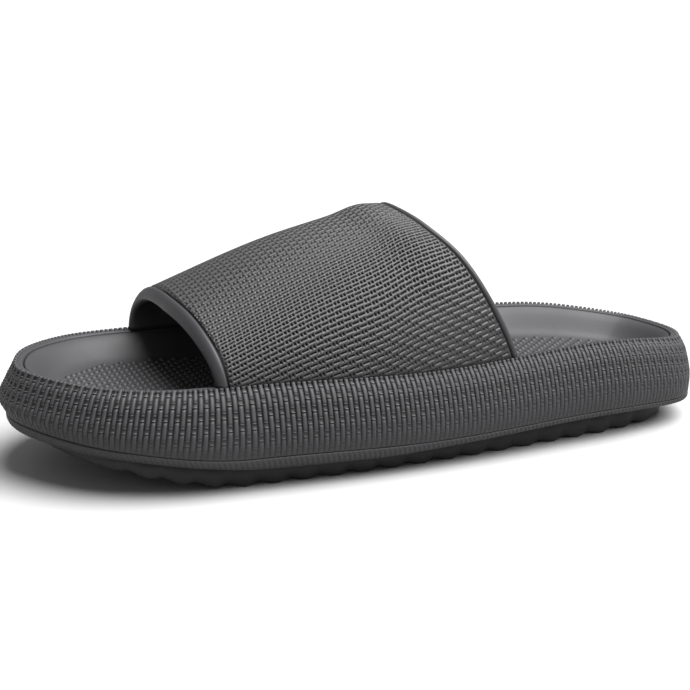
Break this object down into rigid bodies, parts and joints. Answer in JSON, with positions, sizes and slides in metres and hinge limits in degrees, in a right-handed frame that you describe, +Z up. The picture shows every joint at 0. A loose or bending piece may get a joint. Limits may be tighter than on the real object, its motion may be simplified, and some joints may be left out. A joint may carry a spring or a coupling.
{
  "type": "slide sandal",
  "caption": "Right foot moulded foam slide sandal: a wide band strap on a thick rounded sole with a dished footbed and a grooved tread.",
  "frame": {"origin": "middle of the underside of the slide's bounding box, on the floor", "axes": "+X from the toe to the heel, +Y towards the outer side of the foot, +Z up from the floor"},
  "size_m": [0.288, 0.115, 0.0927],
  "materials": {
    "strap_foam": "satin",
    "sole_foam": "matte",
    "tread_foam": "matte"
  },
  "bodies": {
    "root": {"strap": "strap_foam", "sole": "sole_foam", "outsole": "tread_foam"}
  },
  "joints": []
}
